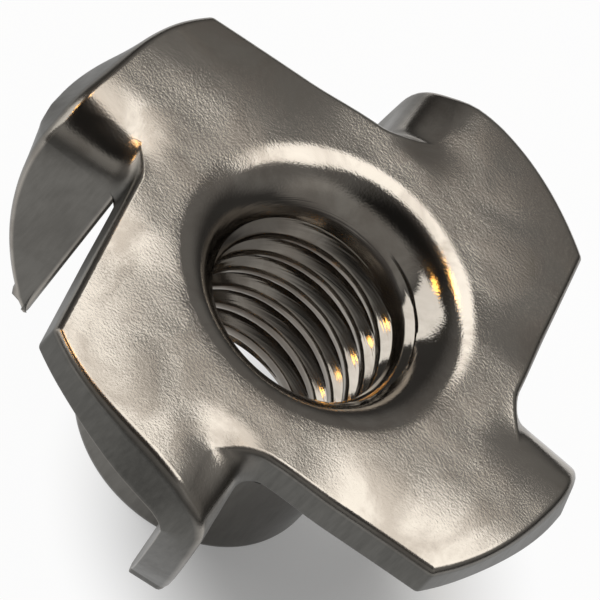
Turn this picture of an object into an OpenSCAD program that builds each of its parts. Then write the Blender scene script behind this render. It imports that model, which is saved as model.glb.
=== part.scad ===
// Four-prong tee nut, pressed and drawn from one round blank of steel sheet.
// A square is slit into the blank: each slit runs in from a corner to the middle of
// its side, and the freed half of the rim folds down about a nearly radial line to
// make a leaf-shaped prong. The barrel is drawn from the middle and bored for tapping.
// +Z is up. The origin is the centre of the barrel's flat end, on which the nut stands.

/* [Flange] */
// Diameter of the round blank, across opposite corners of the flange
blank_d = 22; // [20:0.5:26]
// Thickness of the sheet
sheet_t = 1.4; // [1:0.1:1.8]
// Distance from the axis to the inner end of each prong, along the fold
slit_root = 7.78; // [7.4:0.02:8.2]

/* [Prongs] */
// Inside radius of the fold
fold_in_r = 0.7; // [0.4:0.1:1.2]
// Angle that each prong is folded down from the flange
fold_angle = 85; // [75:1:90]
// Angle of the fold line from square to the side of the flange
fold_skew = 4; // [2:0.5:8]
// Depth of the prong tips below the top of the flange
prong_depth = 8.6; // [5:0.05:9]
// Radius of the web that closes the end of each slit
web_r = 1.2; // [0.6:0.1:1.6]

/* [Barrel] */
// Height from the end of the barrel to the top of the flange
nut_height = 10.3; // [9.5:0.1:15]
// Outside diameter of the barrel
barrel_d = 9.6; // [9.2:0.1:10.6]
// Radius between the barrel and the underside of the flange
neck_r = 1; // [0.5:0.1:1.6]
// Radius of the outer edge at the barrel's end
end_r = 0.3; // [0.1:0.05:0.5]

/* [Bore] */
// Nominal diameter of the thread
thread_d = 8; // [7.6:0.1:8.4]
// Diameter of the bore, the minor diameter of the thread
bore_d = 6.8; // [6:0.1:7.2]
// Radius of the drawn mouth, from the top of the flange into the bore
mouth_r = 2.5; // [1.5:0.1:2.8]

/* [Hidden] */
$fn = 96;
PRONGS = 4;
STEP_ANGLE = 360 / PRONGS;
EPS = 0.5;                                   // how far a cutter runs past a face
SHEAR_GAP = 0.1;                             // clearance of the slitting tool, between flange and prong
SEAT_GAP = 0.2;                              // how far the web stays above the flange's flat underside
blank_r = blank_d / 2;
barrel_r = barrel_d / 2;
bore_r = bore_d / 2;
flange_under = nut_height - sheet_t;         // height of the flange's underside
fold_out_r = fold_in_r + sheet_t;
fold_mid_r = fold_in_r + sheet_t / 2;
fold_l = fold_mid_r * fold_angle * PI / 180; // length of sheet taken up by the fold
half_fold = fold_l / 2;                      // the fold is centred on a radius of the blank
fold_rim = sqrt(pow(blank_r, 2) - pow(half_fold, 2));
// In the fold's own frame X runs out along the fold line and Y across it.
fold_turn = 90 - fold_skew;                  // direction of the first fold line
corner_a = STEP_ANGLE / 2 + fold_skew;
corner = blank_r * [cos(corner_a), sin(corner_a)];
root = [slit_root - SHEAR_GAP, -half_fold];  // inner end of the slit on the flat flange
slit_slope = (root.x - corner.x) / (corner.y - root.y);
leaf_l = (prong_depth - fold_out_r * (1 - cos(fold_angle))) / sin(fold_angle);
leaf_tip = half_fold + leaf_l;
cut_slope = (slit_root - corner.x) / (corner.y - half_fold);
web_v = root.x - slit_slope * (fold_out_r + web_r);
web_t = sheet_t - SEAT_GAP;                  // height of the web
exit_h = (thread_d - bore_d) / 2;            // 45 degree chamfer out to the thread's roots

// The blank's sector that leaves the flat flange at one fold, bounded by slit and fold line.
module prong_sector() {
    reach = 2 * blank_r;
    polygon([root, [reach, root.y], [reach, reach], root + 2 * (corner - root)]);
}

// Flat flange: a square with half a circle segment left standing on each side.
module flange_plate() {
    translate([0, 0, flange_under])
        linear_extrude(sheet_t)
            difference() {
                circle(d = blank_d);
                for (i = [0 : PRONGS - 1])
                    rotate(i * STEP_ANGLE + fold_turn) prong_sector();
            }
}

// Outline of the straight part of a prong: rim arc, cut edge and blunt tip.
module leaf_outline() {
    reach = 2 * blank_r;
    intersection() {
        circle(d = blank_d);
        polygon([
            [slit_root, half_fold],
            [reach, half_fold],
            [reach, leaf_tip],
            [slit_root - cut_slope * leaf_l, leaf_tip]
        ]);
    }
}

// Carries children from beside the fold's centre line onto the flange.
module at_fold() {
    translate([0, -half_fold, nut_height - fold_out_r]) children();
}

// Sweeps a profile about the fold line; the profile's X is the radius, its -Y runs outward.
module about_fold() {
    at_fold() rotate([0, -90, 0]) rotate_extrude(angle = fold_angle) children();
}

module prong_fold() {
    about_fold() translate([fold_in_r, -fold_rim]) square([sheet_t, fold_rim - slit_root]);
}

module prong_leaf() {
    at_fold()
        rotate([-fold_angle, 0, 0])
            translate([0, -half_fold, fold_in_r]) linear_extrude(sheet_t) leaf_outline();
}

// Concave web in the corner between the flange's cut edge and the fold.
module root_web() {
    intersection() {
        about_fold()
            difference() {
                translate([fold_in_r, -web_v - web_r]) square([sheet_t + web_r, web_r]);
                translate([fold_out_r + web_r, -web_v - web_r]) circle(r = web_r);
            }
        translate([0, -blank_r, nut_height - web_t]) cube([blank_r, blank_d, web_t]);
    }
}

module prong() {
    prong_fold();
    prong_leaf();
    root_web();
}

// Drawn barrel with a fillet under the flange and a rounded end.
module barrel() {
    neck_z = flange_under - neck_r;
    rotate_extrude()
        difference() {
            square([barrel_r + neck_r, flange_under + sheet_t / 2]);
            translate([barrel_r + neck_r, neck_z]) circle(r = neck_r);
            translate([barrel_r, -EPS]) square([neck_r + EPS, neck_z + EPS]);
            translate([barrel_r - end_r, -EPS])
                difference() {
                    square([end_r + EPS, end_r + EPS]);
                    translate([0, end_r + EPS]) circle(r = end_r);
                }
        }
}

// Straight bore, drawn mouth at the top and chamfer at the barrel's end.
module bore() {
    translate([0, 0, -EPS]) cylinder(d = bore_d, h = nut_height + 2 * EPS);
    translate([0, 0, -EPS])
        cylinder(r1 = bore_r + exit_h + EPS, r2 = bore_r, h = exit_h + EPS);
    rotate_extrude()
        difference() {
            translate([0, nut_height - mouth_r]) square([bore_r + mouth_r, mouth_r + EPS]);
            translate([bore_r + mouth_r, nut_height - mouth_r]) circle(r = mouth_r);
        }
}

module tee_nut() {
    color([0.42, 0.4, 0.37])
        difference() {
            union() {
                flange_plate();
                barrel();
                for (i = [0 : PRONGS - 1])
                    rotate([0, 0, i * STEP_ANGLE + fold_turn]) prong();
            }
            bore();
        }
}

tee_nut();
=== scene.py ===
"""Pronged tee nut of pressed steel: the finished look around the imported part.

The nut is one closed skin, worked out in quarters. A quarter's flat blank is an outline of arcs
and lines. A bend map rolls it about the fold, and one edge profile is carried along its outline.
"""
from math import radians
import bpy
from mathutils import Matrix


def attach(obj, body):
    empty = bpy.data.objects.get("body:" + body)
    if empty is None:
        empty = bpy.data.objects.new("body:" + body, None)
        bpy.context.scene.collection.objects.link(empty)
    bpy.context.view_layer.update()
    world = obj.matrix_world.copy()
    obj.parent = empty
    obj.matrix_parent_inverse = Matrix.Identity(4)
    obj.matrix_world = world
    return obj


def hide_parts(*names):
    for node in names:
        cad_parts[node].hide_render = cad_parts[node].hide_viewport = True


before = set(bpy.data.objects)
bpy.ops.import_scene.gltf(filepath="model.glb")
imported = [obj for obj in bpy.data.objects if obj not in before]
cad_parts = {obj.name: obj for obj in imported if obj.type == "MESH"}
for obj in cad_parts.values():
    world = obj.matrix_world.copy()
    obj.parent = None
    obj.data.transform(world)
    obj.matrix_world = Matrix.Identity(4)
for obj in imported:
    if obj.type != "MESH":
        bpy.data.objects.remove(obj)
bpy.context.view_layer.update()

from types import SimpleNamespace

import bmesh
import bpy
import numpy as np
from mathutils import Euler, Matrix, Vector

bl_info = {
    "name": "Pronged tee nut",
    "version": (1, 0, 0),
    "blender": (4, 5, 0),
    "location": "View3D > Sidebar > Tee nut",
    "description": "Builds the finished skin of a four-prong tee nut and its studio",
    "category": "Object",
}

CAD_NODE = "tee_nut"
MM = 0.001
LENGTH_DIGITS = 4
TAU = 2 * np.pi
RIGHT = np.pi / 2


# --- sizes -----------------------------------------------------------------------------------


def length(name, description, millimetres):
    """A length property, given in millimetres and stored in metres."""
    return bpy.props.FloatProperty(
        name=name, description=description, default=millimetres * MM, precision=5, unit="LENGTH"
    )


def angle(name, description, degrees):
    """An angle property, stored in radians."""
    return bpy.props.FloatProperty(
        name=name, description=description, default=radians(degrees), subtype="ANGLE"
    )


def in_millimetres(group):
    """The numbers of a property group, with its lengths in millimetres."""
    numbers = SimpleNamespace()
    for prop in group.bl_rna.properties:
        if prop.type == "FLOAT":
            value = getattr(group, prop.identifier)
            value = round(value / MM, LENGTH_DIGITS) if prop.unit == "LENGTH" else value
            setattr(numbers, prop.identifier, value)
    return numbers


class TeeNutSizes(bpy.types.PropertyGroup):
    """Sizes of the nut."""

    blank_r: length("Blank radius", "Radius of the round blank", 11.0)
    sheet_t: length("Sheet", "Thickness of the sheet", 1.4)
    height: length("Height", "From the barrel's end to the flange's top", 10.3)
    slit_root: length("Slit root", "From the axis to the slit's inner end", 7.68)
    prong_depth: length("Prong depth", "Depth of the tips below the flange's top", 8.76)
    fold_in_r: length("Fold radius", "Inside radius of the fold at the slit's end", 0.2)
    fold_rim_r: length("Fold radius at the rim", "Inside radius of the fold at the rim", 0.7)
    fold_angle: angle("Fold angle", "How far each prong is folded down", 85)
    barrel_r: length("Barrel radius", "Outside radius of the barrel", 4.8)
    neck_r: length("Neck radius", "Fillet between barrel and flange", 1.0)
    end_r: length("End radius", "Rounding of the barrel's end", 0.3)
    mouth_r: length("Mouth radius", "Radius of the drawn mouth", 2.5)
    roll_r: length("Rolled edge", "Rounding that the slitting tool leaves on top edges", 0.25)
    burr_r: length("Lower edge", "Rounding of the lower edges", 0.06)
    corner_r: length("Corner radius", "Rounding of the flange's corners in plan", 0.28)
    tip_r: length("Tip radius", "Rounding of the prong's blunt tip", 0.16)
    tip_slant: angle("Tip slant", "How far the tip's cut leans towards the rim", 21)
    tip_burr: length("Tip burr", "How far the tip's corner stands out of the rim's arc", 0.3)
    tip_flare: length("Tip flare", "How far the tip's corner bends out of the prong's face", 0.12)
    bulge: length("Bulge", "How far the fold's squeezed inner edge bulges past the rim", 0.3)
    major_r: length("Major radius", "Radius at the thread's roots", 4.0)
    minor_r: length("Minor radius", "Radius at the thread's crests", 3.4)
    pitch: length("Pitch", "Rise of the thread in one turn", 1.25)
    mouth_tight: length("Tight mouth", "How far in the mouth starts on its tighter side", 0.45)
    mouth_far: angle("Wide mouth", "Direction of the mouth's wider side", 77)
    exit_h: length("Exit chamfer", "Height of the 45 degree chamfer at the barrel's end", 0.9)


# Segments of each stretch of the skin
ROLL_SEGS, WALL_SEGS, BURR_SEGS = 4, 12, 2
FOLD_SEGS = 8
BEND_SEGS = 10
WEB_SEGS = 8
LEAF_SEGS = 36
RIM_SEGS = 24
CUT_SEGS = 14
ARC_SEGS = 5
TURN_SEGS = 192
# Middle and reach of the rim's stretches that bulge below and are pinched above
BULGE_MID, BULGE_REACH = -0.9, 5.0
PINCH_MID, PINCH_REACH = -2.7, 4.05
# Where the tip's burr starts above the tip, and the lengths over which it rises
BURR_START, BURR_RISE, BURR_FADE = 0.85, 0.4, 0.6
# Beyond this distance along the fold line everything below the fold is prong
PRONG_X = 6.5
ACROSS_SEGS = BEND_SEGS + WEB_SEGS
EDGE_SEGS = ROLL_SEGS + WALL_SEGS + BURR_SEGS


# --- skin ------------------------------------------------------------------------------------


def quads_of(rows, cols, base):
    """Corner numbers of the quads in a grid of points stored row by row."""
    i, j = np.meshgrid(np.arange(rows - 1), np.arange(cols - 1), indexing="ij")
    a = (base + i * cols + j).ravel()
    return np.stack([a, a + cols, a + cols + 1, a + 1], axis=1)


def zip_of(along_a, along_b, base_a, base_b):
    """Triangles between two rows of points. Each step along one row, in the order of its place
    on the seam, makes a triangle with the point that the other row has reached."""
    i, j = np.arange(len(along_a) - 1), np.arange(len(along_b) - 1)
    on_b = np.searchsorted(along_b[1:], along_a[1:], side="left")
    on_a = np.searchsorted(along_a[1:], along_b[1:], side="right")
    steps_a = np.stack([base_a + i, base_b + on_b, base_a + i + 1], axis=1)
    steps_b = np.stack([base_a + on_a, base_b + j, base_b + j + 1], axis=1)
    return np.concatenate([steps_a, steps_b])


class Skin:
    """Collects grids of points and welds them into one closed mesh."""

    def __init__(self):
        self.points, self.cut, self.quads, self.tris, self.count = [], [], [], [], 0

    def add(self, points, cut=0.0):
        """Adds points with their cut values, which also carry the painted shade of the underside,
        the barrel and the prongs, and gives the first one's number.
        """
        base = self.count
        flat = points.reshape(-1, 3)
        self.points.append(flat)
        self.cut.append(np.broadcast_to(cut, points.shape[:-1]).ravel())
        self.count += len(flat)
        return base

    def grid(self, points, cut=0.0):
        """Adds a grid of points as quads."""
        base = self.add(points, cut)
        self.quads.append(quads_of(points.shape[0], points.shape[1], base))

    def zip(self, row_a, row_b, along_a, along_b):
        """Closes the seam between two rows with triangles."""
        self.tris.append(zip_of(along_a, along_b, self.add(row_a), self.add(row_b)))

    def welded(self, tolerance=1e-5):
        """Points within the tolerance become one, with the largest of their cut values, and quads
        that lose a corner become triangles."""
        points, cut = np.concatenate(self.points), np.concatenate(self.cut)
        key = np.round(points / tolerance).astype(np.int64)
        _, first, inverse = np.unique(key, axis=0, return_index=True, return_inverse=True)
        inverse = inverse.ravel()
        largest = np.zeros(len(first))
        np.maximum.at(largest, inverse, cut)
        quads, tris = inverse[np.concatenate(self.quads)], inverse[np.concatenate(self.tris)]
        same = quads == np.roll(quads, -1, axis=1)
        crossed = (quads[:, 0] == quads[:, 2]) | (quads[:, 1] == quads[:, 3])
        whole, short = ~same.any(axis=1) & ~crossed, (same.sum(axis=1) == 1) & ~crossed
        kept = (np.argmax(same[short], axis=1)[:, None] + [1, 2, 3]) % 4
        tris = np.concatenate([tris, np.take_along_axis(quads[short], kept, axis=1)])
        sound = (tris != np.roll(tris, -1, axis=1)).all(axis=1)
        return points[first], largest, quads[whole], tris[sound]


def smooth(value):
    """Zero up to 0 and one from 1, with a smooth step between."""
    value = np.clip(value, 0, 1)
    return value * value * (3 - 2 * value)


def arc_path(centre, radius, angles):
    """Points on an arc, with the directions from them to its centre."""
    out = np.stack([np.cos(angles), np.sin(angles)], axis=-1)
    return np.asarray(centre) + radius * out, -out


def blended(start, end, count):
    """Rows of points that run straight from start to end, in count steps."""
    v = np.linspace(0, 1, count + 1)[None, :, None]
    return start[:, None] * (1 - v) + end[:, None] * v


def filled(top, bottom, left, right):
    """Patch between four boundary rows: the sum of the two straight blends, less the blend of
    the four corners."""
    u = np.linspace(0, 1, len(left))[:, None, None]
    v = np.linspace(0, 1, len(top))[None, :, None]
    patch = (1 - u) * top[None] + u * bottom[None]
    patch = patch + (1 - v) * left[:, None] + v * right[:, None]
    patch -= (1 - u) * ((1 - v) * top[0] + v * top[-1])
    patch -= u * ((1 - v) * bottom[0] + v * bottom[-1])
    patch[0], patch[-1], patch[:, 0], patch[:, -1] = top, bottom, left, right
    return patch


class Sheet:
    """Sizes that follow from the nut's own, and the edge profile: how far each of its points lies
    in from the outline and below the sheet's top."""

    def __init__(self, s):
        self.s = s
        self.out_r = s.fold_in_r + s.sheet_t
        self.mid_r = s.fold_in_r + s.sheet_t / 2
        self.fold_l = self.mid_r * s.fold_angle
        self.half = self.fold_l / 2
        self.top, self.under = s.height, s.height - s.sheet_t
        self.fold_z = self.top - self.out_r
        self.rim_x = np.sqrt(s.blank_r**2 - self.half**2)
        below_fold = s.prong_depth - self.out_r * (1 - np.cos(s.fold_angle))
        self.leaf_l = below_fold / np.sin(s.fold_angle)
        roll = np.linspace(0, RIGHT, ROLL_SEGS + 1)
        burr = np.linspace(0, RIGHT, BURR_SEGS + 1)
        wall = np.linspace(s.roll_r, s.sheet_t - s.burr_r, WALL_SEGS + 1)[1:-1]
        self.roll, self.burr = roll, burr
        self.inset = np.r_[
            s.roll_r * (1 - np.sin(roll)), 0 * wall, s.burr_r * (1 - np.cos(burr))
        ]
        self.depth = np.r_[
            s.roll_r * (1 - np.cos(roll)), wall, s.sheet_t - s.burr_r * (1 - np.sin(burr))
        ]
        self.cut = np.r_[
            np.linspace(0, 1, ROLL_SEGS + 1), 0 * wall + 1, np.linspace(1, 0, BURR_SEGS + 1)
        ]

    def bend(self, flat, depth):
        """The bend map. Before the fold a point stays flat. In the fold its distance past the
        fold's start, over the middle radius, is its angle. Past it, it runs straight on."""
        x, y = flat[..., 0], flat[..., 1]
        fold = self.s.fold_angle
        radius = self.out_r - depth
        turned = np.clip((y + self.half) / self.mid_r, 0, fold)
        before, after = np.minimum(y + self.half, 0), np.maximum(y - self.half, 0)
        across = -self.half + before + radius * np.sin(turned) + after * np.cos(fold)
        up = self.fold_z + radius * np.cos(turned) - after * np.sin(fold)
        return np.stack([x + 0 * across, across, up], axis=-1)

    def strip(self, path, inward, pinch=None):
        """The edge profile carried along a path of the blank: flat points, then bent ones. Along
        the rim the fold's top is pinched in and its inner edge bulges out, and the tip's corner
        stands out by its burr."""
        flat = path[None] + inward[None] * self.inset[:, None, None]
        if pinch is not None:
            deep, y = self.depth[:, None] / self.s.sheet_t, flat[..., 1]
            bulged = self.s.bulge * deep * smooth(1 - np.abs(y - BULGE_MID) / BULGE_REACH)
            pinched = pinch * (1 - deep) * smooth(1 - np.abs(y - PINCH_MID) / PINCH_REACH)
            flat[..., 0] += bulged - pinched + self.burred(flat)
        return flat, self.bend(flat, self.depth[:, None])

    def burred(self, flat):
        """How far the tip's rim corner stands out, rising past its crease and away from the
        cut."""
        rise = smooth((flat[..., 1] - self.half - self.leaf_l + BURR_START) / BURR_RISE)
        return self.s.tip_burr * rise * smooth((flat[..., 0] - self.s.slit_root) / BURR_FADE)

    def level(self, radius, depth):
        """Angle about the fold at which a radius lies that far below the flange's top."""
        return np.arccos(np.clip((self.out_r - depth) / radius, -1, 1))


class Quarter:
    """One quarter of the sheet: its prong, the slit beside it and the rim before it. In its own
    frame X runs out along the fold line and Y across it, towards the prong."""

    def __init__(self, sheet, place):
        s, self.sheet = sheet.s, sheet
        corner, turn, root_shift, self.web_r, back_rim_r, self.pinch = place[:6]
        self.sag, self.longer, self.lean = place[6:]
        corner, turn = np.radians((corner, turn))
        self.turn = turn
        self.corner = s.blank_r * np.array([np.cos(corner - turn), np.sin(corner - turn)])
        self.root_x, self.back_rim_r = s.slit_root + root_shift, back_rim_r
        self.slope = (self.root_x - self.corner[0]) / (self.corner[1] + sheet.half)
        self.slit_in = np.array([-1, -self.slope]) / np.hypot(1, self.slope)
        # The rounded corner's centre: its radius inside the slit's line and inside the rim
        foot = np.array([self.root_x - self.slope * sheet.half, 0]) + s.corner_r * self.slit_in
        run = np.array([-self.slope, 1])
        a, b = run @ run, 2 * foot @ run
        c = foot @ foot - (s.blank_r - s.corner_r) ** 2
        self.centre = foot + run * (np.sqrt(b * b - 4 * a * c) - b) / (2 * a)
        self.end = turn + np.arctan2(self.centre[1], self.centre[0])

    def place(self, points):
        """Turns points of the quarter's own frame about the nut's axis."""
        c, s = np.cos(self.turn), np.sin(self.turn)
        x, y = points[..., 0], points[..., 1]
        return np.stack([x * c - y * s, x * s + y * c, points[..., 2]], axis=-1)

    def slit_x(self, y):
        """The slit's straight line: its x falls evenly with y."""
        return self.root_x - self.slope * (y + self.sheet.half)

    def leaf_strips(self, start):
        """Edge strips of the rim, the fold's rim, the leaf's rim, its blunt tip and its cut
        edge, each with the flat points it was bent from."""
        sh, s = self.sheet, self.sheet.s
        h, origin = sh.half, np.zeros(2)
        tip_y = h + sh.leaf_l
        end_a = RIGHT - s.tip_slant
        cut_y = tip_y - s.tip_r
        cut_c = np.array([self.slit_x(cut_y) + s.tip_r * np.hypot(1, self.slope), cut_y])
        # The tip's straight cut runs from here to the circle of the rim corner's centre
        run = np.array([np.sin(end_a), -np.cos(end_a)])
        along = run @ cut_c
        reach = np.sqrt(along**2 - cut_c @ cut_c + (s.blank_r - s.tip_r) ** 2) - along
        rim_c = cut_c + run * reach
        rim_a = np.arctan2(rim_c[1], rim_c[0])
        before = np.arcsin(-h / s.blank_r)
        rim = arc_path(origin, s.blank_r, np.linspace(start - self.turn, before, RIM_SEGS + 1))
        self.fold_y = -h + sh.mid_r * np.r_[
            np.linspace(0, sh.level(sh.out_r, s.sheet_t), WALL_SEGS + 1),
            np.linspace(sh.level(sh.out_r, s.sheet_t), s.fold_angle, FOLD_SEGS + 1)[1:],
        ]
        fold = arc_path(origin, s.blank_r, np.arcsin(self.fold_y / s.blank_r))
        fold = (np.stack([0 * self.fold_y + sh.rim_x, self.fold_y], axis=-1), fold[1])
        leaf = arc_path(origin, s.blank_r, np.linspace(-before, rim_a, LEAF_SEGS + 1))
        cut_a = np.pi + np.arctan(self.slope)
        tip_a = arc_path(rim_c, s.tip_r, np.linspace(rim_a, end_a, ARC_SEGS + 1))
        tip_b = arc_path(cut_c, s.tip_r, np.linspace(end_a, cut_a, ARC_SEGS + 1))
        mid = ACROSS_SEGS - 2 * ARC_SEGS
        flat = blended(tip_a[0][-1:], tip_b[0][:1], mid)[0, 1:-1]
        tip = (
            np.concatenate([tip_a[0], flat, tip_b[0]]),
            np.concatenate([tip_a[1], np.tile(tip_a[1][-1], (mid - 1, 1)), tip_b[1]]),
        )
        edge = blended(tip_b[0][-1:], np.array([[self.slit_x(h), h]]), LEAF_SEGS)[0]
        edge = (edge, np.tile(-self.slit_in, (LEAF_SEGS + 1, 1)))
        rims = [sh.strip(*path, self.pinch) for path in (rim, fold, leaf, tip)]
        return rims + [sh.strip(*edge)]

    def cut_in_fold(self, edge_flat):
        """Cut wall inside the fold, from the leaf's top up to the level of the underside."""
        sh, s = self.sheet, self.sheet.s
        start = edge_flat[:, -1]
        turned = sh.level(sh.out_r - sh.depth, s.sheet_t)
        end_y = -sh.half + sh.mid_r * turned
        end = np.stack([self.slit_x(end_y) + sh.inset, end_y], axis=-1)
        flat = blended(start, end, FOLD_SEGS)
        flat[0, 1:, 1] = self.fold_y[::-1][1 : FOLD_SEGS + 1]
        return flat, sh.bend(flat, sh.depth[:, None])

    def slit_strip(self):
        """Edge strip of the flange's side, from the web to the far corner and round it. Its
        first column leans with the web's own wall."""
        sh, s = self.sheet, self.sheet.s
        web_out = sh.out_r + self.web_r
        lean = -sh.half + web_out * np.sin(sh.level(web_out, sh.depth))
        rolled = 1 - np.cos(sh.roll)
        lean[: ROLL_SEGS + 1] = lean[0] + (lean[ROLL_SEGS] - lean[0]) * rolled
        stop = (self.centre - s.corner_r * self.slit_in)[1]
        y = blended(lean[:, None], np.full((len(lean), 1), stop), CUT_SEGS)[..., 0]
        side = np.stack([self.slit_x(y), y], axis=-1) + self.slit_in * sh.inset[:, None, None]
        line, rim = np.arctan(self.slope), np.arctan2(self.centre[1], self.centre[0])
        path, inward = arc_path(self.centre, s.corner_r, np.linspace(line, rim, ARC_SEGS + 1))
        corner = path[None] + inward[None] * sh.inset[:, None, None]
        flat = np.concatenate([side[:, :-1], corner], axis=1)
        z = np.broadcast_to((sh.top - sh.depth)[:, None, None], flat.shape[:2] + (1,))
        return np.concatenate([flat, z], axis=-1)

    def web(self, side):
        """Concave web that closes the slit: a quarter circle about the fold, from the side's wall
        to the fold's back, with the rolled edge dying out towards the fold."""
        sh, s = self.sheet, self.sheet.s
        across = np.linspace(0, RIGHT, WEB_SEGS + 1)
        radius = sh.out_r + self.web_r * (1 - np.sin(across))
        self.web_x = self.slit_x(-sh.half + sh.out_r + self.web_r) + self.web_r

        def on_web(turned):
            y = -sh.half + radius * np.sin(turned)
            near = self.slit_x(y)
            x = near + (self.web_x - near) * (1 - np.cos(across))
            return np.stack([x, y, sh.fold_z + radius * np.cos(turned)], axis=-1)

        def outward(row):
            run = np.gradient(row, axis=0)
            away = np.stack([-run[:, 1], run[:, 0], 0 * across], axis=-1)
            away /= np.linalg.norm(away, axis=1)[:, None]
            away[0], away[-1] = [*-self.slit_in, 0], [0, 1, 0]
            return away

        rise = sh.level(radius, 0)
        edge = on_web(rise)
        between = np.arccos(np.clip(np.sin(across) * np.cos(rise), -1, 1))
        reach = s.roll_r * np.tan(between / 2)
        low = reach * np.sin(between)
        rows = []
        start, end = edge - outward(edge) * reach[:, None], on_web(sh.level(radius, low))
        for a in sh.roll:
            rows.append(edge + (start - edge) * (1 - np.sin(a)) + (end - edge) * (1 - np.cos(a)))
        fade = np.cos(across)
        floor = s.sheet_t - s.burr_r * fade
        first, last = sh.level(radius, low), sh.level(radius, floor)
        for u in np.arange(1, WALL_SEGS + 1) / WALL_SEGS:
            by_depth = sh.level(radius, low + (floor - low) * u)
            by_angle = first + (last - first) * u
            rows.append(on_web(by_depth * (1 - np.sin(across)) + by_angle * np.sin(across)))
        foot = on_web(sh.level(radius, s.sheet_t))
        back, wall = outward(foot), rows[-1]
        for b in sh.burr[1:]:
            inward = back * (s.burr_r * fade * (1 - np.cos(b)))[:, None]
            rows.append(foot + (wall - foot) * (1 - np.sin(b)) - inward)
        web = np.stack(rows)
        fold = np.stack([0 * self.fold_y + self.web_x, self.fold_y], axis=-1)[: WALL_SEGS + 1]
        fold = sh.bend(fold, 0 * self.fold_y[: WALL_SEGS + 1])
        web[:ROLL_SEGS, -1] = fold[0]
        web[ROLL_SEGS : ROLL_SEGS + WALL_SEGS + 1, -1] = fold
        web[ROLL_SEGS + WALL_SEGS :, -1] = fold[-1]
        web[:, 0] = side[:, 0]
        return web

    def opened(self, points):
        """Opens the fold towards the rim. Points past the web go back through the bend map to
        their place on the blank and their depth, and forward through one whose outer and inner
        radii grow with x. Both maps share the planes of the flange and the prong."""
        sh, s = self.sheet, self.sheet.s
        c, n = np.cos(self.turn), np.sin(self.turn)
        x, y = points[:, 0] * c + points[:, 1] * n, points[:, 1] * c - points[:, 0] * n
        fold, a, b = s.fold_angle, y + sh.half, points[:, 2] - sh.fold_z
        turned, after = np.arctan2(a, b), a * np.cos(fold) - b * np.sin(fold)
        blank = np.where(turned < fold, sh.mid_r * turned - sh.half, after + sh.half)
        blank = np.where(a < 0, y, blank)
        radius = np.where(turned < fold, np.hypot(a, b), a * np.sin(fold) + b * np.cos(fold))
        depth = np.where(a < 0, sh.top - points[:, 2], sh.out_r - radius)
        grown = np.maximum(x - self.web_x, 0) / (s.blank_r - self.web_x)
        inner = grown * (s.fold_rim_r - s.fold_in_r)
        outer = grown * (self.back_rim_r - sh.out_r)
        extra = outer + (inner - outer) * np.clip(depth / s.sheet_t, 0, 1)
        radius = sh.out_r - depth + extra
        half = sh.half + extra * np.tan(fold / 2)
        turned = fold * np.clip((blank / half + 1) / 2, 0, 1)
        before, after = np.minimum(blank + half, 0), np.maximum(blank - half, 0)
        flare = s.tip_flare / s.tip_burr * sh.burred(np.stack([x, blank], axis=-1))
        y_new = before - half + radius * np.sin(turned) + after * np.cos(fold) + flare
        z_new = sh.top - depth - radius * (1 - np.cos(turned)) - after * np.sin(fold)
        mine = (grown > 0) & (np.abs(y) < s.blank_r)
        moved = self.place(np.stack([x, y_new, z_new], axis=-1))
        return np.where(mine[:, None], moved, points)

    def drawn_out(self, points):
        """Lengthens the prong below its fold by its share and leans it out of its plane, both in
        proportion to the depth below the fold."""
        c, n = np.cos(self.turn), np.sin(self.turn)
        x, y = points[:, 0] * c + points[:, 1] * n, points[:, 1] * c - points[:, 0] * n
        on_prong = (x > PRONG_X) & (y > -self.sheet.out_r)
        below = np.where(on_prong, np.maximum(self.sheet.fold_z - points[:, 2], 0), 0)
        out = self.lean * below
        return points + np.stack([-n * out, c * out, -self.longer * below], axis=-1)

    def build(self, skin, start):
        """Adds the quarter to the skin, and gives the outlines of the flange's two flat faces."""
        sh, s = self.sheet, self.sheet.s
        rim, fold, leaf, tip, edge = self.leaf_strips(start)
        cut_flat, cut = self.cut_in_fold(edge[0])
        side = self.slit_strip()
        web = self.web(side)
        # Back of the fold, in two stretches, and of the leaf
        fold_line = np.stack([0 * self.fold_y + self.web_x, self.fold_y], axis=-1)
        back_a = blended(fold[0][0], fold_line, BEND_SEGS)
        back_b = blended(fold_line[WALL_SEGS:], cut_flat[0, ::-1], WEB_SEGS)
        top = np.concatenate([back_a[-1], back_b[-1][1:]])
        back = filled(top, tip[0][0], leaf[0][0], edge[0][0][::-1])
        # Inside of the fold and of the leaf
        inner_x = s.blank_r - 2 * s.roll_r
        inner_end = np.stack([np.full(FOLD_SEGS + 1, inner_x), cut_flat[-1, :, 1]], axis=-1)
        in_flat = blended(cut_flat[-1], inner_end, ACROSS_SEGS - 1)
        inside = sh.bend(in_flat, s.sheet_t)
        in_top = np.concatenate([leaf[0][-1][:1], in_flat[0][::-1]])
        front = filled(in_top, tip[0][-1], leaf[0][-1], edge[0][-1][::-1])
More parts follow.
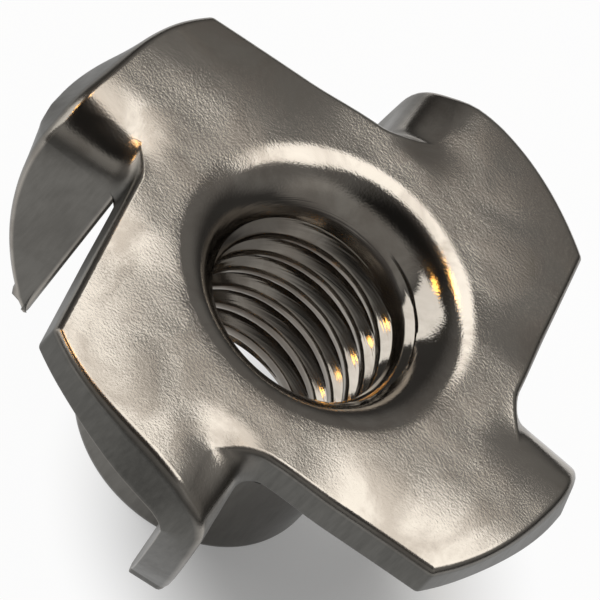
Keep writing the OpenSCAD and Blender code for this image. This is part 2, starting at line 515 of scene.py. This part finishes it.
        # Ledge under the web
        ledge = np.stack([web[-1], sh.bend(back_b[0][::-1], 0 * back_b[0][::-1, 0])])
        ledge[1, :, 2] = sh.under
        wall = sh.cut[:, None]
        for flat, strip in (rim, fold, leaf, tip, edge):
            skin.grid(self.place(strip), wall)
        skin.grid(self.place(cut), wall)
        skin.grid(self.place(side), wall)
        # The web fades from the cut wall's dark colour to painted shade towards the fold
        share = np.cos(np.linspace(0, RIGHT, WEB_SEGS + 1))
        deep = shaded_and_rough(sh.level(sh.out_r, sh.depth))[:, None]
        skin.grid(self.place(web), wall * share + deep * (1 - share))
        # Painted shade on the fold's back that grows as it turns down, and full painted shade on
        # the prong's back
        down = shaded_and_rough((self.fold_y + sh.half) / sh.mid_r)[:, None]
        for flat, value in ((back_a, down), (back_b, down[WALL_SEGS:]), (back, SHADE_AND_ROUGH)):
            skin.grid(self.place(sh.bend(flat, 0)), value)
        # Full painted shade on the prong's inner face, the fold's inside and the ledge
        for surface in (sh.bend(front, s.sheet_t), inside, ledge):
            skin.grid(self.place(surface), SHADE_AND_ROUGH)
        skin.zip(
            self.place(inside[::-1, -1]),
            self.place(fold[1][-1]),
            inner_end[::-1, 1],
            self.fold_y,
        )
        first = sh.bend(back_a[0], 0)
        upper = np.concatenate([rim[1][0], first[1:], web[0, ::-1][1:], side[0][1:]])
        lower = np.concatenate([rim[1][-1], inside[-1][::-1], cut[::-1, -1][1:], side[-1]])
        return self.place(upper), self.place(lower)


# Painted shade with rougher steel on the underside, the barrel and the prongs: the share of the
# cut walls' dark colour and roughness that they take, and the angle in the fold where it starts
# and over which it rises
SHADE_AND_ROUGH, SHADE_START, SHADE_RISE = 0.88, 0.75, 0.55


def shaded_and_rough(turned):
    """Share of painted shade and rougher steel at an angle in the fold: the prong darkens as it
    turns down.
    """
    return SHADE_AND_ROUGH * smooth((turned - SHADE_START) / SHADE_RISE)


# Where the spokes to each stretch of an outline leave the ring, in degrees from the fold
TOP_MARKS, UNDER_MARKS = (-14, -8, 11), (-15, -9, 10)
TOP_COUNTS = (RIM_SEGS, BEND_SEGS, WEB_SEGS, CUT_SEGS + ARC_SEGS)
UNDER_COUNTS = (RIM_SEGS, ACROSS_SEGS, EDGE_SEGS + 1, CUT_SEGS + ARC_SEGS)
# Shares of a spoke's length at its points, and the ring's distance from the mouth and the neck
SPOKE_STEPS = (0, 0.12, 0.24, 0.36, 0.47, 0.57, 0.66, 0.74, 0.81, 0.87, 0.92, 0.96, 0.985, 1)
RING_GAP = 0.15
# Rows of one turn of thread, in pitches from the middle of its root
TURN_ROWS = (-0.36, -0.332, -0.304, -0.208, -0.112, -0.08, -0.048, 0)
TURN_ROWS = np.array(TURN_ROWS + tuple(-row for row in TURN_ROWS[-2::-1]) + (0.432,))
# Half the root's flat, in pitches, and the softness of the thread's corners
ROOT_FLAT, THREAD_SOFT = 1 / 16, 0.07
# Angle on the mouth's arc where its tighter side ends, and depth at which the thread's rows begin
TIGHT_END, THREAD_TOP = 0.76, 0.8
# Rows of the mouth, of the barrel's rounded end and of the neck, and the distance from an edge
# to the row that supports it
MOUTH_ROWS, END_ROWS, NECK_ROWS, SUPPORT = 17, 5, 9, 0.04


def softened(value, soft):
    """Zero below zero and the value above it, with a soft corner between."""
    return 0.5 * (value + np.sqrt(value * value + soft * soft))


def flat_face(skin, outlines, marks, counts, starts, turns, ring_r, cut):
    """Flat face between a ring and the outline, as straight spokes. Gives the ring's points and
    their angles."""
    edges = np.cumsum((0,) + counts)
    phi = []
    for start, end, turn in zip(starts, starts[1:], turns):
        knots = [start, *(turn + np.radians(marks)), end]
        phi.append(np.interp(np.arange(edges[-1] + 1), edges, knots))
    phi, outline = np.concatenate(phi), np.concatenate(outlines)
    ring = np.stack([ring_r * np.cos(phi), ring_r * np.sin(phi), outline[:, 2]], axis=-1)
    step = np.array(SPOKE_STEPS)[:, None, None]
    spokes = ring[None] * (1 - step) + outline[None] * step
    spokes[-1] = outline
    skin.grid(spokes, cut)
    return ring, phi


def around(radius, height, phi):
    """Points at a radius and height, turned about the axis; one row for each radius."""
    radius, height, phi = np.broadcast_arrays(radius, height, phi)
    return np.stack([radius * np.cos(phi), radius * np.sin(phi), height], axis=-1)


def turned_skin(skin, s, start, top_ring, under_ring):
    """Mouth, thread and barrel. The mouth and the neck are quarter circles about the axis. The
    thread's rows climb one pitch in a turn; its radius follows the distance from the root's
    middle, and is never less than the mouth's or the chamfer's."""
    phi = start + np.linspace(0, TAU, TURN_SEGS + 1)[None]
    turns = (phi - start) / TAU
    centre_z, centre_r = s.height - s.mouth_r, s.minor_r + s.mouth_r
    top = s.height - THREAD_TOP
    low = np.arcsin((top - centre_z) / s.mouth_r)
    a = np.linspace(RIGHT, low, MOUTH_ROWS)[:, None]
    tight = s.mouth_tight * ((1 - np.cos(phi - s.mouth_far)) / 2) ** 2
    tight = tight * np.clip((a - TIGHT_END) / (RIGHT - TIGHT_END), 0, 1)
    mouth_r = centre_r - s.mouth_r * np.cos(a) - tight
    mouth = around(mouth_r, centre_z + s.mouth_r * np.sin(a), phi)
    skin.grid(mouth)

    row = np.arange(-2, int(top / s.pitch) + 3)[:, None] + TURN_ROWS + 0.5
    z = np.clip(s.pitch * (row.reshape(-1, 1) + turns), 0, top)[::-1]
    from_root = np.abs(np.mod(z - s.pitch * turns, s.pitch) - s.pitch / 2)
    flank = (from_root - ROOT_FLAT * s.pitch) * np.sqrt(3)
    cut = s.major_r - softened(flank, THREAD_SOFT)
    cut = np.minimum(s.minor_r + softened(cut - s.minor_r, THREAD_SOFT), s.major_r)
    drawn = np.sqrt(np.maximum(s.mouth_r**2 - np.maximum(z - centre_z, 0) ** 2, 0))
    chamfer = s.minor_r + np.maximum(s.exit_h - z, 0)
    radius = np.maximum.reduce([cut, centre_r - drawn, chamfer])
    radius = np.where(z >= top, centre_r - s.mouth_r * np.cos(low), radius)
    exit_r = s.minor_r + s.exit_h
    radius = np.where(z <= 0, exit_r, radius)
    skin.grid(around(radius, z, phi))

    e, q = np.linspace(0, RIGHT, END_ROWS), np.linspace(0, RIGHT, NECK_ROWS)
    neck_z, end_r = s.height - s.sheet_t - s.neck_r, s.barrel_r - s.end_r
    radius = np.r_[
        exit_r, exit_r + SUPPORT, end_r - SUPPORT, end_r + s.end_r * np.sin(e),
        np.full(4, s.barrel_r), s.barrel_r + s.neck_r * (1 - np.cos(q)),
    ]
    z = np.r_[
        0, 0, 0, s.end_r * (1 - np.cos(e)),
        s.end_r + SUPPORT, 0.3 * neck_z, 0.7 * neck_z, neck_z - SUPPORT,
        neck_z + s.neck_r * np.sin(q),
    ]
    body = around(radius[:, None], z[:, None], phi)
    # Painted shade on the barrel
    skin.grid(body, SHADE_AND_ROUGH)
    for row, (ring, ring_phi) in ((mouth[0], top_ring), (body[-1], under_ring)):
        skin.zip(row, ring, turns[0], (ring_phi - start) / TAU)


# Each quarter's fold: direction of the blank's corner and of the fold line in degrees, how far
# the slit's inner end lies from its nominal place, the radius of its web, at the rim the fold's
# outer radius and how far the top edge is pinched in, the slope of the flange's sag at the fold,
# and the shares by which the prong is longer and leans out
QUARTERS = (
    (135, 85.3, 0, 0.9, 2.3, -0.12, 0.22, 0, 0),
    (225, 177.1, 0, 0.5, 2.4, 0.42, 0.15, 0, 0),
    (315, 266.8, 0, 0.9, 2.3, 0.4, 0.22, 0.042, 0.021),
    (405, 357.3, 0.12, 0.9, 2.1, 0.1, 0.08, 0, 0),
)
# Sag of the flange towards a fold: its width, where it starts and how it rises along the fold,
# and the depth at which it has died out
SAG_WIDTH, SAG_START, SAG_RISE, SAG_LOW = 1.8, 7.0, 1.8, 3.5
# Dome of the flange: radius where it starts, and its drop at the rim
DOME_START, DOME_DROP = 8.0, 0.06
# Crown of the flange: drop at a slit's edge, how far it reaches in from there, where it starts
# and how it rises along the slit, and how far past the slit's line it still holds
CROWN_DROP, CROWN_REACH, CROWN_START, CROWN_RISE, CROWN_PAST = 0.17, 3.5, 1.8, 2.5, 0.05


def sagged(s, sheet, points, quarters):
    """Lowers the skin by a smooth field of place alone. The dome's drop grows with the square of
    the distance past its start, and the crown's with the square of the nearness to a slit. At
    each fold the sag's slope grows evenly up to the fold, then the sag dies out over the fold's
    own width and below the sheet, so that the prong stays."""
    past = np.maximum(np.hypot(points[:, 0], points[:, 1]) - DOME_START, 0)
    drop = DOME_DROP * (past / (s.blank_r - DOME_START)) ** 2
    low = sheet.top - SAG_LOW
    near = smooth((points[:, 2] - low) / (sheet.under - low))
    for quarter in quarters:
        c, n = np.cos(quarter.turn), np.sin(quarter.turn)
        x = points[:, 0] * c + points[:, 1] * n
        y = points[:, 1] * c - points[:, 0] * n + sheet.half
        before, after = np.clip(y + SAG_WIDTH, 0, SAG_WIDTH), np.clip(y, 0, sheet.out_r)
        sag = before**2 / (2 * SAG_WIDTH) + after
        sag = quarter.sag * sag * (1 - smooth(after / sheet.out_r))
        drop = drop + sag * near * smooth((x - SAG_START) / SAG_RISE)
        inside = (quarter.slit_x(y - sheet.half) - x) / np.hypot(1, quarter.slope)
        crown = CROWN_DROP * np.clip(1 - inside / CROWN_REACH, 0, 1) ** 2
        crown = crown * (inside > -CROWN_PAST)
        drop = drop + crown * near * smooth((y - sheet.half - CROWN_START) / CROWN_RISE)
    lowered = points.copy()
    lowered[:, 2] -= drop
    return lowered


def nut_skin(s):
    """The whole closed skin of the nut, in millimetres."""
    sheet, skin = Sheet(s), Skin()
    quarters = [Quarter(sheet, place) for place in QUARTERS]
    turns = [quarter.turn for quarter in quarters]
    starts = [quarters[-1].end - TAU] + [quarter.end for quarter in quarters]
    outlines = [quarter.build(skin, start) for quarter, start in zip(quarters, starts)]
    upper, lower = zip(*outlines)
    top_r = s.minor_r + s.mouth_r + RING_GAP
    under_r = s.barrel_r + s.neck_r + RING_GAP
    top = flat_face(skin, upper, TOP_MARKS, TOP_COUNTS, starts, turns, top_r, 0)
    # The underside takes painted shade
    under = flat_face(skin, lower, UNDER_MARKS, UNDER_COUNTS, starts, turns, under_r, SHADE_AND_ROUGH)
    turned_skin(skin, s, starts[0], top, under)
    points, sheared, quads, tris = skin.welded()
    for quarter in quarters:
        points = quarter.drawn_out(quarter.opened(points))
    return sagged(s, sheet, points, quarters), sheared, quads, tris


def new_piece(name, points, faces, values=None):
    """Mesh object from points in millimetres, its normals recalculated to point outwards."""
    mesh = bpy.data.meshes.new(name)
    mesh.from_pydata(points * MM, [], [face for group in faces for face in group.tolist()])
    for attribute, value in (values or {}).items():
        layer = mesh.attributes.new(attribute, "FLOAT", "POINT")
        layer.data.foreach_set("value", value.astype(np.float32))
    solid = bmesh.new()
    solid.from_mesh(mesh)
    bmesh.ops.recalc_face_normals(solid, faces=solid.faces)
    solid.to_mesh(mesh)
    solid.free()
    mesh.shade_smooth()
    mesh.set_sharp_from_angle(angle=radians(50))
    piece = bpy.data.objects.new(name, mesh)
    bpy.context.scene.collection.objects.link(piece)
    return piece


# --- finishes --------------------------------------------------------------------------------


class NodeTree:
    """Short calls that add nodes to a tree and link them."""

    def __init__(self, holder):
        holder.use_nodes = True
        self.tree = holder.node_tree
        self.tree.nodes.clear()

    def add(self, kind, inputs=None, **settings):
        node = self.tree.nodes.new(kind)
        for name, value in settings.items():
            setattr(node, name, value)
        for name, value in (inputs or {}).items():
            if isinstance(value, bpy.types.NodeSocket):
                self.tree.links.new(value, node.inputs[name])
            else:
                node.inputs[name].default_value = value
        return node

    def noise(self, vector, scale, detail=3.0, rough=0.5, warp=0.0):
        inputs = {"Vector": vector, "Scale": scale, "Detail": detail, "Roughness": rough}
        inputs["Distortion"] = warp
        return self.add("ShaderNodeTexNoise", inputs).outputs["Fac"]

    def ranged(self, value, low, high, to_low=0.0, to_high=1.0):
        inputs = {0: value, 1: low, 2: high, 3: to_low, 4: to_high}
        return self.add("ShaderNodeMapRange", inputs, interpolation_type="SMOOTHSTEP").outputs[0]

    def math(self, operation, a, b=0.0):
        return self.add("ShaderNodeMath", {0: a, 1: b}, operation=operation).outputs[0]

    def mixed(self, factor, a, b):
        inputs = {0: factor, 6: a, 7: b}
        return self.add("ShaderNodeMix", inputs, data_type="RGBA").outputs[2]

    def stretched(self, vector, scale):
        inputs = {"Vector": vector, "Scale": scale}
        return self.add("ShaderNodeMapping", inputs, vector_type="POINT").outputs[0]


def colour(name, description, default):
    """A colour property without alpha."""
    return bpy.props.FloatVectorProperty(
        name=name, description=description, default=default, size=3, subtype="COLOR", min=0, max=1
    )


def factor(name, description, default):
    """A property between 0 and 1."""
    return bpy.props.FloatProperty(
        name=name, description=description, default=default, min=0, max=1, subtype="FACTOR"
    )


class SteelFinish(bpy.types.PropertyGroup):
    """Colours and textures of the polished steel."""

    bright: colour("Bright steel", "Polished faces", (0.40, 0.372, 0.335))
    dull: colour("Dull steel", "Cloudy patches of the faces", (0.30, 0.272, 0.240))
    # Dark colour of the cut walls, partly their own sheared tone and partly painted shade; it is
    # also laid as painted shade on the underside, the barrel and the prongs
    sheared: colour("Sheared steel", "Cut walls and the dull underside", (0.112, 0.109, 0.101))
    face_rough: factor("Face roughness", "Roughness of the polished faces", 0.17)
    wall_rough: factor("Wall roughness", "Roughness of the cut walls", 0.42)
    ripple: factor("Ripple", "Strength of the faces' fine ripple", 0.5)


# Distances from the axis, in metres, over which the thread's own finish ends and over which the
# mouth's higher shine ends
THREAD_EDGE, SHINE_EDGE = (0.0039, 0.0044), (0.0054, 0.0063)
# Fineness of each pattern, in cycles to a metre
CLOUDS, WAVES, RIPPLE, PAPER = 420, 420, 11500, 900
DRAG_LINES, THREAD_LINES = (5200, 5200, 700), (400, 400, 26000)
# Shares of the bump's height, and of its height in the thread that stays
RIPPLE_SHARE, SHEARED_RIPPLE, WAVE_SHARE, DRAG_SHARE, THREAD_SHARE = 0.28, 0.15, 1.5, 0.4, 0.35
INSIDE_SHARE = 0.25
BUMP_HEIGHT = 0.00003
# How much rougher the clouds are, how much smoother the faces between them and the mouth are,
# and how far the cut walls' colour swings about its middle
CLOUD_ROUGH, CLEAR_SHINE, MOUTH_SHINE, WALL_SWING = 0.07, 0.03, 0.07, 0.3


def steel_material(finish):
    """Electropolished steel. The faces have soft clouds, a fine ripple and shallow waves. The
    mouth shines more, and the thread has fainter waves and fine lines round it. The walls where
    the sheet was cut are darker and rougher, with drag lines; their darkness is partly their own
    sheared tone and partly painted shade. The same dark colour lies on the underside, the barrel
    and the prongs as painted shade."""
    material = bpy.data.materials.new("polished_steel")
    t = NodeTree(material)
    place = t.add("ShaderNodeTexCoord").outputs["Object"]
    # Share of the cut walls' finish: their rougher steel and dark tone, deepened as painted
    # shade, and painted shade on the underside, the barrel and the prongs
    sheared = t.add("ShaderNodeAttribute", attribute_name="sheared").outputs["Fac"]
    level = {0: place, 1: (1, 1, 0)}
    level = t.add("ShaderNodeVectorMath", level, operation="MULTIPLY").outputs[0]
    from_axis = t.add("ShaderNodeVectorMath", {0: level}, operation="LENGTH").outputs["Value"]
    outside = t.ranged(from_axis, *THREAD_EDGE, INSIDE_SHARE, 1.0)
    shiny = t.ranged(from_axis, *SHINE_EDGE, MOUTH_SHINE, 0.0)
    clouds = t.ranged(t.noise(place, CLOUDS, 4, 0.6, 0.6), 0.36, 0.66)
    ripple = t.noise(place, RIPPLE, 2, 0.6)
    waves = t.noise(place, WAVES, 1, 0.5, 0.3)
    drag = t.noise(t.stretched(place, DRAG_LINES), 1.0, 3, 0.6)
    face = t.mixed(clouds, (*finish.bright, 1), (*finish.dull, 1))
    swings = (1 - WALL_SWING, 1 + WALL_SWING)
    dark, light = (tuple(k * c for c in finish.sheared) + (1,) for k in swings)
    # Base colour: the faces' clouds, mixed towards the dark cut colour where the cut walls and
    # the painted shade lie
    base = t.mixed(sheared, face, t.mixed(drag, dark, light))
    rough = t.math("MULTIPLY", clouds, CLOUD_ROUGH)
    rough = t.math("ADD", rough, finish.face_rough - CLEAR_SHINE)
    rougher = t.math("MULTIPLY", sheared, finish.wall_rough - finish.face_rough)
    rough = t.math("SUBTRACT", t.math("ADD", rough, rougher), shiny)
    share = t.math("SUBTRACT", RIPPLE_SHARE, t.math("MULTIPLY", sheared, SHEARED_RIPPLE))
    ripple, waves = t.math("MULTIPLY", ripple, share), t.math("MULTIPLY", waves, WAVE_SHARE)
    height = t.math("ADD", ripple, waves)
    drag = t.math("MULTIPLY", t.math("MULTIPLY", drag, sheared), DRAG_SHARE)
    height = t.math("MULTIPLY", t.math("ADD", height, drag), outside)
    turned = t.noise(t.stretched(place, THREAD_LINES), 1.0, 2, 0.5)
    turned = t.math("MULTIPLY", turned, t.math("SUBTRACT", 1.0, outside))
    height = t.math("ADD", height, t.math("MULTIPLY", turned, THREAD_SHARE))
    bump = {"Strength": finish.ripple, "Distance": BUMP_HEIGHT, "Height": height}
    bump = t.add("ShaderNodeBump", bump).outputs[0]
    look = {"Base Color": base, "Metallic": 1.0, "Roughness": rough, "Normal": bump}
    shader = t.add("ShaderNodeBsdfPrincipled", look).outputs[0]
    t.add("ShaderNodeOutputMaterial", {"Surface": shader})
    return material


# --- studio ----------------------------------------------------------------------------------


class StudioSettings(bpy.types.PropertyGroup):
    """Floor, lights and camera."""

    floor_colour: colour("Floor", "Colour of the floor", (0.90, 0.90, 0.90))
    backdrop_share: factor("Backdrop", "Share of the floor that shows as plain white", 0.96)
    sky_colour: colour("Sky", "Colour of the light from all round", (1.0, 0.985, 0.955))
    sky_level: factor("Front sky", "Strength of the low sky in front", 0.28)
    sky_back: factor("Back sky", "Strength of the sky under the lamp behind", 0.17)
    sky_side: factor("Side sky", "Strength of the sky on the right", 0.2)
    sky_dim: factor("Dim sky", "Strength of the rest of the sky", 0.06)
    lens: bpy.props.FloatProperty(
        name="Lens", description="Focal length", default=853.17, unit="CAMERA"
    )
    distance: length("Distance", "From the camera to the flange", 488.24)
    azimuth: angle("Azimuth", "Direction of the camera about the nut's axis", -103.22)
    elevation: angle("Elevation", "Height of the camera above level", 49.64)
    roll: angle("Roll", "Turn of the camera about its own axis", 43.27)


FLOOR_SIZE = 3.0
# Share of its colour that the floor's paper falls to between its fibres
PAPER_SHADE = 0.985
# Softboxes: name, azimuth and elevation from the nut, distance, width, height, watts, colour
SOFTBOXES = (
    ("overhead", 68, 64.3, 0.9, 0.75, 0.37, 1.95, (1.0, 0.975, 0.93)),
    ("left", 177, 28, 0.9, 0.55, 0.9, 2.6, (1.0, 0.985, 0.955)),
    ("warm", 118, 67, 0.9, 0.08, 0.08, 0.25, (1.0, 0.5, 0.1)),
    ("spark", 178, 58, 0.9, 0.075, 0.075, 0.3, (1.0, 0.5, 0.1)),
)
# Middle of the floor's painted shadow under the flange in millimetres, the distances in metres
# over which it fades, and the share of plain white that is left in it
SHADE_PLACE, SHADE_EDGE, SHADE_SHARE = (5, -2, 0), (0.003, 0.010), 0.2
# Brighter skies: azimuth and elevation of the middle, and the cosines of the angles from it at
# which the sky starts and is full
SKY_FRONT = (-85, 10), 0.2, 0.55
SKY_BACK = (80, 46), 0.7, 0.98
SKY_SIDE = (5, 52), 0.78, 0.99
# Heights, as the direction's Z, over which the front sky comes in and goes out, and over which
# the dim sky falls to its share at the zenith
FRONT_IN, FRONT_OUT, ZENITH, ZENITH_SHARE = (0.2, 0.4), (0.8, 0.93), (0.86, 0.95), 0.3
# What the camera looks at, on the flange's top
AIM = (-0.645, -1.048, 10.3)


def direction(azimuth, elevation):
    """Unit vector towards a direction given in radians."""
    level = np.cos(elevation)
    return Vector((level * np.cos(azimuth), level * np.sin(azimuth), np.sin(elevation)))


def new_floor(studio):
    """Plain square floor under the barrel's end. Seen and mirrored it is nearly white, but for a
    painted shadow under the flange, where less plain white shows over the lit floor."""
    side = FLOOR_SIZE / 2 / MM
    u, v = np.meshgrid([-side, side], [-side, side], indexing="ij")
    points = np.stack([u, v, 0 * u], axis=-1).reshape(-1, 3)
    floor = new_piece("floor", points, [quads_of(2, 2, 0)])
    if floor.data.polygons[0].normal.z < 0:
        floor.data.flip_normals()
    material = bpy.data.materials.new("floor_paper")
    t = NodeTree(material)
    place = t.add("ShaderNodeTexCoord").outputs["Object"]
    fibre = t.noise(place, PAPER, 3, 0.6)
    darker = tuple(PAPER_SHADE * c for c in studio.floor_colour)
    pale = t.mixed(fibre, (*darker, 1), (*studio.floor_colour, 1))
    lit = t.add("ShaderNodeBsdfPrincipled", {"Base Color": pale, "Roughness": 0.9}).outputs[0]
    rays = t.add("ShaderNodeLightPath").outputs
    seen = t.math("ADD", rays["Is Camera Ray"], rays["Is Glossy Ray"])
    seen = t.math("MINIMUM", t.math("ADD", seen, rays["Is Transmission Ray"]), 1.0)
    white = t.add("ShaderNodeEmission", {"Color": (1, 1, 1, 1), "Strength": 1.0}).outputs[0]
    # Painted shadow: less plain white near a place under the flange
    shade = {0: place, 1: [MM * value for value in SHADE_PLACE]}
    away = t.add("ShaderNodeVectorMath", shade, operation="DISTANCE").outputs["Value"]
    full = studio.backdrop_share
    share = t.ranged(away, *SHADE_EDGE, SHADE_SHARE * full, full)
    share = t.math("MULTIPLY", seen, share)
    both = t.add("ShaderNodeMixShader", {0: share, 1: lit, 2: white}).outputs[0]
    t.add("ShaderNodeOutputMaterial", {"Surface": both})
    floor.data.materials.append(material)
    return floor


def new_softbox(name, azimuth, elevation, distance, width, height, watts, tint):
    """Rectangular lamp that faces the nut."""
    lamp = bpy.data.lights.new(name, "AREA")
    lamp.shape, lamp.size, lamp.size_y = "RECTANGLE", width, height
    lamp.energy, lamp.color = watts, tint
    holder = bpy.data.objects.new(name, lamp)
    towards = direction(radians(azimuth), radians(elevation))
    holder.location = towards * distance
    holder.rotation_euler = towards.to_track_quat("Z", "Y").to_euler()
    bpy.context.scene.collection.objects.link(holder)


def new_sky(studio):
    """Dim light from all round, darker at the zenith, and stronger from the low sky in front,
    from under the lamp behind and from the right."""
    world = bpy.data.worlds.new("studio_sky")
    t = NodeTree(world)
    towards = t.add("ShaderNodeTexCoord").outputs["Generated"]

    def near(place, outer, inner, level):
        """A level that falls off with the angle from a direction."""
        pair = {0: towards, 1: direction(*np.radians(place))}
        cosine = t.add("ShaderNodeVectorMath", pair, operation="DOT_PRODUCT").outputs["Value"]
        return t.ranged(cosine, outer, inner, 0.0, level)

    up = t.add("ShaderNodeSeparateXYZ", {0: towards}).outputs["Z"]
    front = t.math("MULTIPLY", near(*SKY_FRONT, studio.sky_level), t.ranged(up, *FRONT_IN))
    front = t.math("MULTIPLY", front, t.ranged(up, *FRONT_OUT, 1.0, 0.0))
    rest = t.ranged(up, *ZENITH, studio.sky_dim, ZENITH_SHARE * studio.sky_dim)
    light = t.math("ADD", front, rest)
    light = t.math("ADD", light, near(*SKY_BACK, studio.sky_back))
    light = t.math("ADD", light, near(*SKY_SIDE, studio.sky_side))
    glow = {"Color": (*studio.sky_colour, 1), "Strength": light}
    glow = t.add("ShaderNodeBackground", glow).outputs[0]
    t.add("ShaderNodeOutputWorld", {"Surface": glow})
    bpy.context.scene.world = world


def new_camera(studio):
    """Camera at its azimuth and elevation about the nut, rolled about its own axis."""
    lens = bpy.data.cameras.new("camera")
    lens.lens, lens.sensor_width = studio.lens, 36
    camera = bpy.data.objects.new("camera", lens)
    turn = Euler((RIGHT - studio.elevation, 0, studio.azimuth + RIGHT)).to_matrix()
    turn = turn @ Matrix.Rotation(studio.roll, 3, "Z")
    place = Vector(AIM) * MM + direction(studio.azimuth, studio.elevation) * studio.distance
    camera.matrix_world = Matrix.Translation(place) @ turn.to_4x4()
    bpy.context.scene.collection.objects.link(camera)
    bpy.context.scene.camera = camera


# --- add-on ----------------------------------------------------------------------------------


class TEENUT_OT_nut(bpy.types.Operator):
    """Builds the nut's finished skin in place of its CAD solid"""

    bl_idname = "teenut.nut"
    bl_label = "Tee nut"

    def execute(self, context):
        settings = context.scene.tee_nut
        points, sheared, quads, tris = nut_skin(in_millimetres(settings.sizes))
        # The attribute carries the cut walls and the painted shade of the underside, the barrel
        # and the prongs
        nut = new_piece("tee_nut_body", points, (quads, tris), {"sheared": sheared})
        nut.data.materials.append(steel_material(settings.finish))
        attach(nut, "root")
        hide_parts(CAD_NODE)
        return {"FINISHED"}


class TEENUT_OT_studio(bpy.types.Operator):
    """Builds the floor, the lights and the camera"""

    bl_idname = "teenut.studio"
    bl_label = "Studio"

    def execute(self, context):
        studio = context.scene.tee_nut.studio
        new_floor(studio)
        for softbox in SOFTBOXES:
            new_softbox(*softbox)
        new_sky(studio)
        new_camera(studio)
        context.scene.view_settings.view_transform = "Standard"
        return {"FINISHED"}


class TeeNutSettings(bpy.types.PropertyGroup):
    """Everything that can be set."""

    sizes: bpy.props.PointerProperty(type=TeeNutSizes)
    finish: bpy.props.PointerProperty(type=SteelFinish)
    studio: bpy.props.PointerProperty(type=StudioSettings)


class TEENUT_PT_panel(bpy.types.Panel):
    """Lists the sizes, the finish and the two operators"""

    bl_label = "Tee nut"
    bl_space_type = "VIEW_3D"
    bl_region_type = "UI"
    bl_category = "Tee nut"

    def draw(self, context):
        settings = context.scene.tee_nut
        for group in (settings.sizes, settings.finish, settings.studio):
            box = self.layout.box()
            for name in group.bl_rna.properties.keys():
                if name not in ("rna_type", "name"):
                    box.prop(group, name)
        for operator in (TEENUT_OT_nut, TEENUT_OT_studio):
            self.layout.operator(operator.bl_idname)


CLASSES = (
    TeeNutSizes,
    SteelFinish,
    StudioSettings,
    TeeNutSettings,
    TEENUT_OT_nut,
    TEENUT_OT_studio,
    TEENUT_PT_panel,
)


def register():
    """Registers the classes and puts the settings on the scene."""
    for cls in CLASSES:
        bpy.utils.register_class(cls)
    bpy.types.Scene.tee_nut = bpy.props.PointerProperty(type=TeeNutSettings)


def unregister():
    """Takes the settings and the classes away again."""
    del bpy.types.Scene.tee_nut
    for cls in reversed(CLASSES):
        bpy.utils.unregister_class(cls)


def main():
    register()
    bpy.ops.teenut.nut()
    bpy.ops.teenut.studio()


if __name__ == "__main__":
    main()
